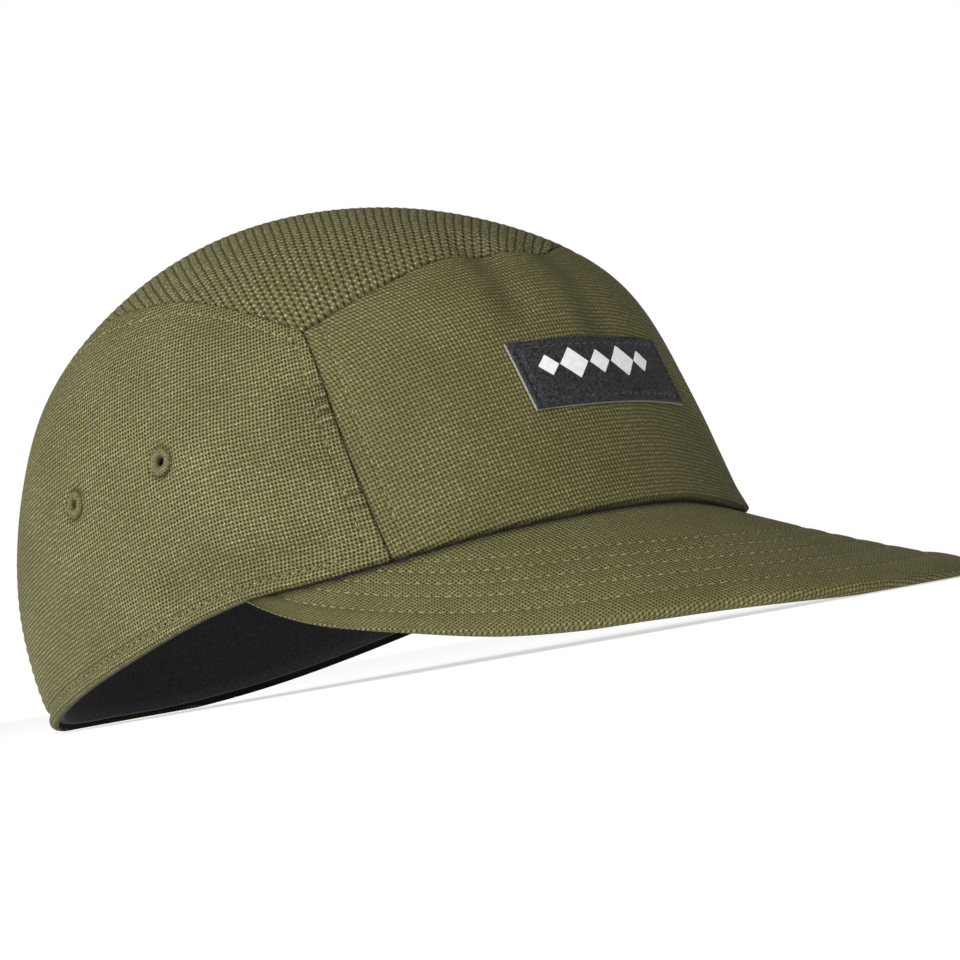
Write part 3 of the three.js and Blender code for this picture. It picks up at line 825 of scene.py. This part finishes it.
def top_panel():
    right, ahead, lay, across_mm, back_mm = top_sheet(TOP_COLUMNS, TOP_ROWS)
    edges = np.minimum(np.minimum(lay["first"], lay["last"]), np.minimum(lay["low"], lay["high"]))
    rib = across_mm * RIBS_PER_MM[0] + back_mm * RIBS_PER_MM[1]
    sink = rolled(edges, SEAM_ROLL) + RIB_DEPTH / 2 * np.cos(2 * np.pi * rib)
    # Shade painted along the seams round the top.
    painted_shade = groove(edges, 0, TOP_SEAM_PAINTED_SHADE, 0.6)
    bm, column, row = new_grid(TOP_COLUMNS, TOP_ROWS)
    put(bm, column, row, set_down(crown_on_disk(right, ahead, sink)), across_mm, back_mm, painted_shade)
    backing = top_backing()
    bm.from_mesh(backing)
    bpy.data.meshes.remove(backing)
    bmesh.ops.bridge_loops(bm, edges=[edge for edge in bm.edges if edge.is_boundary])
    print("edges left open:", sum(edge.is_boundary for edge in bm.edges))
    sharpen(bm)
    make_piece("top_panel_knit", bm, [knit, black_inner_faces], "top_panel")


top_panel()

# %% [markdown]
# The sweatband is a soft loop inside the rim, as deep as three fingers are wide. A band could be a
# curve with a bevel, but its section has to lean with the crown at every turn, so it is a grid that
# is bent round until both pairs of edges meet, and is then merged into one closed loop. The hem hides
# its lower edge, but behind the peak it hangs lower, so that no light shows through the joint.

# %% Sweatband
BAND_HEIGHT = 33
BAND_THICKNESS = 1.5
BAND_GAP = 0.6
BAND_SET_UP = 0.8
BAND_TUCK = 0.8
PEAK_END_TURN = 86
BAND_COLUMNS = 200
BAND_SIDE_ROWS = 10
BAND_ROUND_ROWS = 4


def band_section():
    """The band's section as shares of its thickness and height, once round."""
    up = np.linspace(0.005, 0.98, BAND_SIDE_ROWS + 1)
    bend = np.linspace(0, np.pi, BAND_ROUND_ROWS + 2)[1:-1]
    over = (0.5 - 0.5 * np.cos(bend), 0.98 + 0.02 * np.sin(bend))
    depth = np.concatenate([0 * up, over[0], 0 * up + 1, 1 - over[0], [0]])
    height = np.concatenate([up, over[1], up[::-1], (1 - over[1]) / 4, [0.005]])
    return depth, height


def sweatband():
    depth, height = band_section()
    turn, _ = np.meshgrid(np.linspace(0, 360, BAND_COLUMNS + 1), depth)
    band_lift = math.degrees(math.asin(BAND_HEIGHT / CROWN_HEIGHT))
    behind_peak = window(folded_turn(turn), -90, PEAK_END_TURN, 1.5)
    low = mix(BAND_SET_UP, -BAND_TUCK, behind_peak)
    lift = rim_lift(turn) + mix(low, band_lift, height[:, None])
    inner = PANEL_THICKNESS + BAND_GAP + BAND_THICKNESS * depth[:, None]
    points = set_down(crown(turn, lift, np.broadcast_to(inner, turn.shape)))
    bm, column, row = new_grid(BAND_COLUMNS, len(depth) - 1)
    put(bm, column, row, points, turn, lift)
    bmesh.ops.remove_doubles(bm, verts=bm.verts[:], dist=0.01 * MM)
    bmesh.ops.recalc_face_normals(bm, faces=bm.faces[:])
    make_piece("sweatband_loop", bm, [jersey], "sweatband")


sweatband()

# %% [markdown]
# The peak. A plastic board is sewn into the same cloth, and five rows of stitches run round it, each
# at its own distance from the outer edge. The grid goes out along the upper face, round the edge and
# back along the underside. Towards its two ends the board thins, its corners are round, and the
# cloth rises to tuck in behind the hem. Bridging the two root edges and filling the ends closes it.

# %% Peak
PEAK_COLUMNS = 230
PEAK_TOP_ROWS = 90
PEAK_NOSE_ROWS = 8
PEAK_UNDER_ROWS = 30
PEAK_STITCHES = (11.5, 22.2, 30.6, 38.5, 46)
PEAK_EDGE_FOLD = (2, 9)
PEAK_FOLD_PROUD = 0.4
# How much shade is painted next to the root of the peak, at the rim.
PEAK_ROOT_PAINTED_SHADE = 0.7
PEAK_TAPER = (55, 88)
PEAK_END_SHARE = 0.2
PEAK_END_ROUND = 10
PEAK_END_REACH = 0.15
PEAK_END_TUCK = 2.4


def peak_share(turn):
    """The share of its full thickness that the peak has, which falls towards its two ends."""
    t = np.clip((np.abs(turn) - PEAK_TAPER[0]) / (PEAK_TAPER[1] - PEAK_TAPER[0]), 0, 1)
    return mix(1, PEAK_END_SHARE, t * t * (3 - 2 * t))


def near_end(turn):
    """0 over most of the peak, and growing to 1 over the last stretch before each end."""
    return np.clip((np.abs(turn) - PEAK_SPAN) / PEAK_END_ROUND + 1, 0, 1)


def peak_reach(turn):
    """How far out the cloth goes along each straight line: the corners at the two ends are round."""
    return mix(1, PEAK_END_REACH, 1 - np.sqrt(1 - near_end(turn)**2))


def unrolled(points):
    """Lays the bent board out flat: lengths across its straight lines, and lengths along them."""
    straight = unit(points[-1] - points[0])
    between = unit(straight[1:] + straight[:-1])
    step = np.diff(points, axis=1)
    along_step = (step * between).sum(axis=-1)
    across_step = np.linalg.norm(step - along_step[..., None] * between, axis=-1)
    across = np.zeros(points.shape[:-1])
    across[:, 1:] = np.cumsum(across_step, axis=1)
    root = np.concatenate([[0], np.cumsum(along_step[0])])
    along = root + lengths_along(points, 0)
    middle = points.shape[1] // 2
    return across - across[:, middle][:, None], along - along[0, middle]


def peak_grid():
    """The upper face as a lay, and the points, lengths and painted shade of the whole sheet."""
    turn, along = np.meshgrid(np.linspace(PEAK_SPAN, -PEAK_SPAN, PEAK_COLUMNS + 1),
                              np.linspace(0, 1, PEAK_TOP_ROWS + 1))
    along *= peak_reach(turn)
    smooth = peak_top(turn, along)
    lay = laid(smooth)
    # Each row of stitches presses a groove and has shade painted along it; more shade is painted next to
    # the root.
    sink, painted_shade = sum(pressed("peak", lay["high"] - place) for place in PEAK_STITCHES)
    sink -= PEAK_FOLD_PROUD * window(lay["high"], *PEAK_EDGE_FOLD, 0.8)
    painted_shade += groove(lay["low"], 0, PEAK_ROOT_PAINTED_SHADE, 2)
    top = smooth + peak_down(turn, along) * sink[..., None]
    rim_out = unit(top[-1] - top[-3])
    down = peak_down(turn[-1], along[-1])
    bend = np.linspace(0, np.pi, PEAK_NOSE_ROWS + 1)[1:, None, None]
    share = peak_share(turn[-1])[:, None]
    nose = top[-1] + share * (rim_out * PEAK_EDGE_ROUND * np.sin(bend)
                              + down * PEAK_THICKNESS / 2 * (1 - np.cos(bend)))
    turn_under, along_under = np.meshgrid(turn[0], np.linspace(1, 0, PEAK_UNDER_ROWS + 1)[1:])
    along_under *= peak_reach(turn_under)
    wall = PEAK_THICKNESS * peak_share(turn_under)[..., None]
    under = peak_top(turn_under, along_under) + peak_down(turn_under, along_under) * wall
    points = np.concatenate([top, nose, under])
    points[..., 2] += PEAK_END_TUCK * near_end(turn[0])**3
    lay["points"] = set_down(points[:PEAK_TOP_ROWS + 1])
    across_mm, along_mm = unrolled(smooth)
    past_edge = lengths_along(points[PEAK_TOP_ROWS:], 0)[1:]
    painted_shade = np.concatenate([painted_shade, np.zeros_like(past_edge)])
    across_mm = np.concatenate([across_mm, np.repeat(across_mm[-1:], len(past_edge), axis=0)])
    along_mm = np.concatenate([along_mm, along_mm[-1] + past_edge])
    return lay, set_down(points), across_mm, along_mm, painted_shade


def close_peak(bm, row):
    """Bridges the two root edges, then fills the two thin ends."""
    last_row = max(row)
    root = [{v for v, r in zip(bm.verts, row) if r == end} for end in (0, last_row)]
    edges = [e for e in bm.edges if any(set(e.verts) <= line for line in root)]
    bmesh.ops.bridge_loops(bm, edges=edges)
    open_edges = [e for e in bm.edges if e.is_boundary]
    filled = bmesh.ops.holes_fill(bm, edges=open_edges, sides=0)
    bmesh.ops.triangulate(bm, faces=filled["faces"])


def peak():
    lay, points, across_mm, along_mm, painted_shade = peak_grid()
    bm, column, row = new_grid(PEAK_COLUMNS, PEAK_TOP_ROWS + PEAK_NOSE_ROWS + PEAK_UNDER_ROWS)
    put(bm, column, row, points, across_mm, along_mm, painted_shade)
    close_peak(bm, row)
    bmesh.ops.recalc_face_normals(bm, faces=bm.faces[:])
    for face in bm.faces:
        face.smooth = True
    sharpen(bm)
    make_piece("peak_cloth", bm, [peak_mesh], "peak")
    return lay


lays["peak"] = peak()

# %% [markdown]
# The label is a small plate of dark woven tape, stitched on all round. Its outline follows the
# front panel, and its end on the wearer's right stands a little higher. As on the panels, the wall
# comes before the relief, so its pale cut edge stands straight up and shows. The raised print is a
# plain chain of lozenges, an old weaver's ornament.

# %% Label
LABEL_HALF_WIDTH = 26
LABEL_OFFSET = 7
LABEL_RISE = 2.3
LABEL_BOTTOM = 22.3
LABEL_TOP = 40.8
LABEL_PROUD = 1.35
LABEL_WALL = 1.2
LABEL_ROLL = 0.4
LABEL_COLUMNS = 90
LABEL_ROWS = 36
LOZENGES = [(-15.6, 2.8), (-8.2, 4.2), (0, 3.2), (8.2, 4.2), (15.6, 2.8)]
PRINT_SHIFT = (-2.6, 1.9)
PRINT_PROUD = 0.25


def label_place(aside, up, depth):
    """A point on the label: aside from -1 at its left end to 1, up from 0 to 1."""
    height = mix(LABEL_BOTTOM, LABEL_TOP, up) - LABEL_RISE * aside
    lift = np.degrees(np.arcsin(height / CROWN_HEIGHT))
    half = through(CROWN_SECTIONS, "lift", "half", lift) * np.cos(np.radians(lift))
    turn = np.degrees(np.arcsin((LABEL_OFFSET - LABEL_HALF_WIDTH * aside) / half))
    return crown(turn, lift, depth)


def label():
    aside, up = np.meshgrid(mix(-1, 1, crowded(LABEL_COLUMNS, 0.4)), crowded(LABEL_ROWS, 0.4))
    lay = laid(label_place(aside, up, -LABEL_PROUD))
    edges = np.minimum(np.minimum(lay["first"], lay["last"]), np.minimum(lay["low"], lay["high"]))
    sink = rolled(edges, LABEL_ROLL) + pressed("label", edges)[0]
    lay["points"] = set_down(label_place(aside, up, sink - LABEL_PROUD))
    bm, column, row = new_grid(LABEL_COLUMNS, LABEL_ROWS)
    smooth = set_down(label_place(aside, up, -LABEL_PROUD))
    outer = put(bm, column, row, smooth, lay["first"], lay["low"])
    bmesh.ops.solidify(bm, geom=bm.faces[:], thickness=LABEL_WALL * MM)
    for face in bm.faces:
        on_outer = [vertex in outer for vertex in face.verts]
        face.smooth = all(on_outer)
        face.material_index = int(any(on_outer) and not all(on_outer))
    relieved(outer, lay["points"])
    sharpen(bm)
    make_piece("label_tape", bm, [label_tape, label_core], "label_patch")
    return lay


def label_print():
    bm = bmesh.new()
    half_height = (LABEL_TOP - LABEL_BOTTOM) / 2
    for middle, size in LOZENGES:
        made = bmesh.ops.create_grid(bm, x_segments=4, y_segments=4, size=size / math.sqrt(2),
                                     matrix=Matrix.Rotation(math.pi / 4, 4, "Z"))
        for vertex in made["verts"]:
            aside = (middle + vertex.co.x + PRINT_SHIFT[0]) / LABEL_HALF_WIDTH
            up = 0.5 + (vertex.co.y + PRINT_SHIFT[1]) / half_height / 2
            place = label_place(np.array([aside]), np.array([up]), -LABEL_PROUD - PRINT_PROUD)
            vertex.co = set_down(place)[0]
    bm.normal_update()
    bmesh.ops.solidify(bm, geom=bm.faces[:], thickness=(PRINT_PROUD + 0.1) * MM)
    make_piece("label_lozenges", bm, [label_ink])


lays["label"] = label()
label_print()

# %% [markdown]
# Eyelets. Each is a ring of thread sewn over and over through the cloth. A circle is spun round the
# eyelet's axis to make the ring, and every second section is swollen a little, which reads as the
# wraps of the thread. Shade is painted on the sections between them and towards the ring's edges.

# %% Stitched eyelets
EYELET_RADIUS = 3.7
EYELET_HOLE = 1.3
EYELET_HEIGHT = 1.1
EYELET_WRAPS = 24
EYELET_AXIS = (0.8, -0.2)
WRAP_SWELL = 0.2
WRAP_PAINTED_SHADE = 0.5


def eyelet(name, turn, lift):
    """One ring, set on the line that goes straight out through the crown at its place."""
    bm = bmesh.new()
    thick = (EYELET_RADIUS - EYELET_HOLE) / 2
    ring = (EYELET_RADIUS + EYELET_HOLE) / 2
    upright = Matrix.Translation((ring, 0, 0)) @ Matrix.Rotation(math.pi / 2, 4, "X")
    bmesh.ops.create_circle(bm, segments=10, radius=thick, matrix=upright)
    bmesh.ops.spin(bm, geom=bm.verts[:] + bm.edges[:], axis=(0, 0, 1), cent=(0, 0, 0),
                   angle=2 * math.pi, steps=2 * EYELET_WRAPS, use_merge=True)
    layer = bm.verts.layers.float.new("painted_shade")
    for vertex in bm.verts:
        step = round(math.atan2(vertex.co.y, vertex.co.x) / (math.pi / EYELET_WRAPS))
        swell = 1 + WRAP_SWELL * (step % 2)
        at_edge = abs(math.hypot(vertex.co.x, vertex.co.y) - ring) / thick
        # Shade painted between the wraps and towards the ring's inner and outer edges.
        vertex[layer] = WRAP_PAINTED_SHADE * (1 - step % 2) + WRAP_PAINTED_SHADE * at_edge**2
        middle = Vector((vertex.co.x, vertex.co.y, 0)).normalized() * ring
        vertex.co = middle + (vertex.co - middle) * swell
        vertex.co.z *= EYELET_HEIGHT / thick
    bmesh.ops.recalc_face_normals(bm, faces=bm.faces[:])
    for face in bm.faces:
        face.smooth = True
    middle, above = set_down(crown(np.array([turn, turn]), lift, np.array(EYELET_AXIS)))
    turned = Vector(above - middle).to_track_quat("Z", "Y").to_matrix().to_4x4()
    bm.transform(Matrix.Translation(middle) @ turned @ Matrix.Scale(MM, 4))
    make_piece(name + "_thread", bm, [eyelet_thread], name)


for side, side_name in ((1, "right"), (-1, "left")):
    for place, (turn, lift) in EYELETS.items():
        eyelet(f"eyelet_{side_name}_{place}", side * turn, lift)

# %% [markdown]
# Stitches. A row of topstitching is a dashed line of thread that dips into the cloth between one
# stitch and the next. Each stitch is a small stretched sphere with few faces, because there are
# more than a thousand. A row is found as the line that keeps a set distance from one edge.

# %% Helpers for stitches
STITCH_LENGTH = 2.1
STITCH_PITCH = 2.8
THREAD_RADIUS = 0.2


def read_between(values, index):
    """Reads an array between its whole places along its first axis, one place for each column."""
    low = np.clip(np.floor(index).astype(int), 0, values.shape[0] - 2)
    share = index - low
    columns = np.arange(values.shape[1])
    if values.ndim == 3:
        share = share[:, None]
    return mix(values[low, columns], values[low + 1, columns], share)


def row_at(lay, edge, distance, clear=()):
    """Points and outward directions of the line at a distance from one edge of a piece.
    clear names other edges and how far from each the row stops."""
    turned = edge in ("first", "last")
    names = [edge] + [name for name, _ in clear]
    grids = {name: lay[name].T if turned else lay[name] for name in names}
    points = lay["points"].swapaxes(0, 1) if turned else lay["points"]
    normals = unit(np.cross(np.gradient(lay["points"], axis=1), np.gradient(lay["points"], axis=0)))
    normals = normals.swapaxes(0, 1) if turned else normals
    order = slice(None, None, -1) if edge in ("last", "high") else slice(None)
    index = np.array([np.interp(distance, grids[edge][order, c], np.arange(points.shape[0])[order])
                      for c in range(points.shape[1])])
    keep = grids[edge][order][-1] > distance
    for name, least in clear:
        keep &= read_between(grids[name], index) > least
    return read_between(points, index)[keep], read_between(normals, index)[keep]


def sew(bm, row, pitch=STITCH_PITCH, length=STITCH_LENGTH, radius=THREAD_RADIUS):
    """Adds a row of stitches along a line of points."""
    points, normals = row
    steps = np.linalg.norm(np.diff(points, axis=0), axis=-1)
    lengths = np.concatenate([[0], np.cumsum(steps)]) / MM
    count = int(lengths[-1] / pitch)
    for start in (np.arange(count) + 0.5) * lengths[-1] / max(count, 1) - length / 2:
        ends = [Vector(np.interp(place, lengths, axis) for axis in points.T)
                for place in (start, start + length)]
        up = Vector(np.interp(start, lengths, axis) for axis in normals.T).normalized()
        along = (ends[1] - ends[0]).normalized()
        aside = up.cross(along).normalized()
        turned = Matrix((along, aside, up)).transposed().to_4x4()
        size = Matrix.Diagonal((length * MM / 2, radius * MM, radius * MM, 1))
        middle = (ends[0] + ends[1]) / 2 + up * radius * MM * 0.1
        bmesh.ops.create_uvsphere(bm, u_segments=6, v_segments=4, radius=1,
                                  matrix=Matrix.Translation(middle) @ turned @ size)


def finish_stitches(name, bm, thread):
    """Makes one piece of all the stitches in a mesh."""
    for face in bm.faces:
        face.smooth = True
    make_piece(name, bm, [thread])


# %% [markdown]
# The rows. On the crown a row runs beside each seam and round the hem, and where two rows meet, one
# of them stops short. The peak's rows start at the rim. The label has one row along each side.

# %% The rows of stitches
LABEL_THREAD = {"pitch": 2.4, "length": 2.0, "radius": 0.3}
SHORT = 0.2
place_of = {kind: line["place"] for kind, line in SEWN.items()}

crown_rows = bmesh.new()
for name, front, rear in (("side_panel_right", "last", "first"), ("side_panel_left", "first", "last")):
    lay = lays[name]
    inside = place_of["side"] - SHORT
    below_top = ("high", place_of["side_top"])
    sew(crown_rows, row_at(lay, "high", place_of["side_top"], [(front, inside), (rear, inside)]))
    sew(crown_rows, row_at(lay, front, place_of["side"], [below_top, ("low", 1)]))
    sew(crown_rows, row_at(lay, rear, place_of["side"], [below_top, ("low", 1)]))
    sew(crown_rows, row_at(lay, "low", place_of["hem"], [(front, 12), (rear, 1)]))
sew(crown_rows, row_at(lays["back_panel"], "low", place_of["hem"], [("first", 1), ("last", 1)]))
for edge in ("first", "last"):
    sew(crown_rows, row_at(lays["front_panel"], edge, place_of["front"], [("low", 1), ("high", 1)]))
finish_stitches("crown_topstitching", crown_rows, olive_thread)

peak_rows = bmesh.new()
for distance in PEAK_STITCHES:
    sew(peak_rows, row_at(lays["peak"], "high", distance, [("low", 0.5)]))
finish_stitches("peak_topstitching", peak_rows, olive_thread)

label_rows = bmesh.new()
for edge, others in (("first", ("low", "high")), ("last", ("low", "high")),
                     ("low", ("first", "last")), ("high", ("first", "last"))):
    clear = [(other, place_of["label"] - SHORT) for other in others]
    sew(label_rows, row_at(lays["label"], edge, place_of["label"], clear), **LABEL_THREAD)
finish_stitches("label_stitching", label_rows, black_thread)

# %% [markdown]
# Floor and light. The floor is a plain pale light table, whose faint glow from below lights the
# inside of the cap and softens the shadow under it. One large soft box, on the side that the wall
# is on in the photograph, brings out the weave.

# %% Floor and lights
FLOOR_SIZE = 12
FLOOR_DROP = 0.3
TABLE_GLOW = 0.6
SOFT_BOX_AZIMUTH = -91
SOFT_BOX_ELEVATION = 15
SOFT_BOX_DISTANCE = 1.6
SOFT_BOX_SIZE = 1.2
SOFT_BOX_WATTS = 20

floor_mesh = bmesh.new()
bmesh.ops.create_grid(floor_mesh, x_segments=1, y_segments=1, size=FLOOR_SIZE / 2)
mesh = bpy.data.meshes.new("floor")
floor_mesh.to_mesh(mesh)
floor_mesh.free()
floor = bpy.data.objects.new("floor", mesh)
bpy.context.scene.collection.objects.link(floor)
floor.location.z = -FLOOR_DROP * MM
# Frosted glass over lamps: pale, matt and very slightly uneven.
pale, tree, shader = new_material("pale_studio_floor")
place = add(tree, "ShaderNodeTexCoord", output="Object")
speck = add(tree, "ShaderNodeTexNoise", {"Vector": place, "Scale": 3.0, "Detail": 2.0})
tree.links.new(painted(tree, linear("bebebd"), (speck, linear("c4c4c3"))), shader.inputs["Base Color"])
shader.inputs["Roughness"].default_value = 0.9
shader.inputs["Emission Color"].default_value = (1, 1, 1, 1)
shader.inputs["Emission Strength"].default_value = TABLE_GLOW
mesh.materials.append(pale)

lamp = bpy.data.lights.new("soft_box", "AREA")
lamp.size = SOFT_BOX_SIZE
lamp.energy = SOFT_BOX_WATTS
soft_box = bpy.data.objects.new("soft_box", lamp)
bpy.context.scene.collection.objects.link(soft_box)
round_by, up_by = math.radians(SOFT_BOX_AZIMUTH), math.radians(SOFT_BOX_ELEVATION)
towards = Vector((math.sin(round_by) * math.cos(up_by), -math.cos(round_by) * math.cos(up_by),
                  math.sin(up_by)))
soft_box.location = towards * SOFT_BOX_DISTANCE
soft_box.rotation_euler = towards.to_track_quat("Z", "Y").to_euler()
print("the floor is", FLOOR_SIZE, "m wide and glows with", TABLE_GLOW, "of white")

# %% [markdown]
# The surround. In the photograph the cloth is brightest where it faces the left of the picture and
# falls off evenly as it turns away, as it does beside a large white wall. A wall of lamps would do
# it, but it is simpler to let the surround itself grow brighter towards that side. Behind the cap
# the surround is white, as a paper backdrop is.

# %% Surround
WALL_SIDE = (-0.988, 0.0, 0.156)
SURROUND_EVEN = 0.34
SURROUND_SLOPE = 1.3
SURROUND_LEAST = 0.06
BACKDROP_COSINES = (0.93, 0.97)

world = bpy.data.worlds.new("surround")
world.use_nodes = True
tree = world.node_tree
direction = add(tree, "ShaderNodeTexCoord", output="Generated")
to_wall, to_backdrop = (
    add(tree, "ShaderNodeVectorMath", {0: direction, 1: aim}, "Value", operation="DOT_PRODUCT")
    for aim in (WALL_SIDE, tuple(-back)))
slope = weighted(tree, (to_wall, SURROUND_SLOPE), (1.0, SURROUND_EVEN))
[backdrop] = steps(tree, (to_backdrop, *BACKDROP_COSINES))
least = add(tree, "ShaderNodeMath", {0: slope, 1: SURROUND_LEAST}, operation="MAXIMUM")
strength = add(tree, "ShaderNodeMath", {0: backdrop, 1: least}, operation="MAXIMUM")
background = tree.nodes["Background"]
background.inputs["Color"].default_value = (1, 1, 1, 1)
tree.links.new(strength, background.inputs["Strength"])
bpy.context.scene.world = world
bpy.context.scene.view_settings.view_transform = "Standard"
print("the surround goes from", SURROUND_LEAST, "to", round(SURROUND_EVEN + SURROUND_SLOPE, 2))
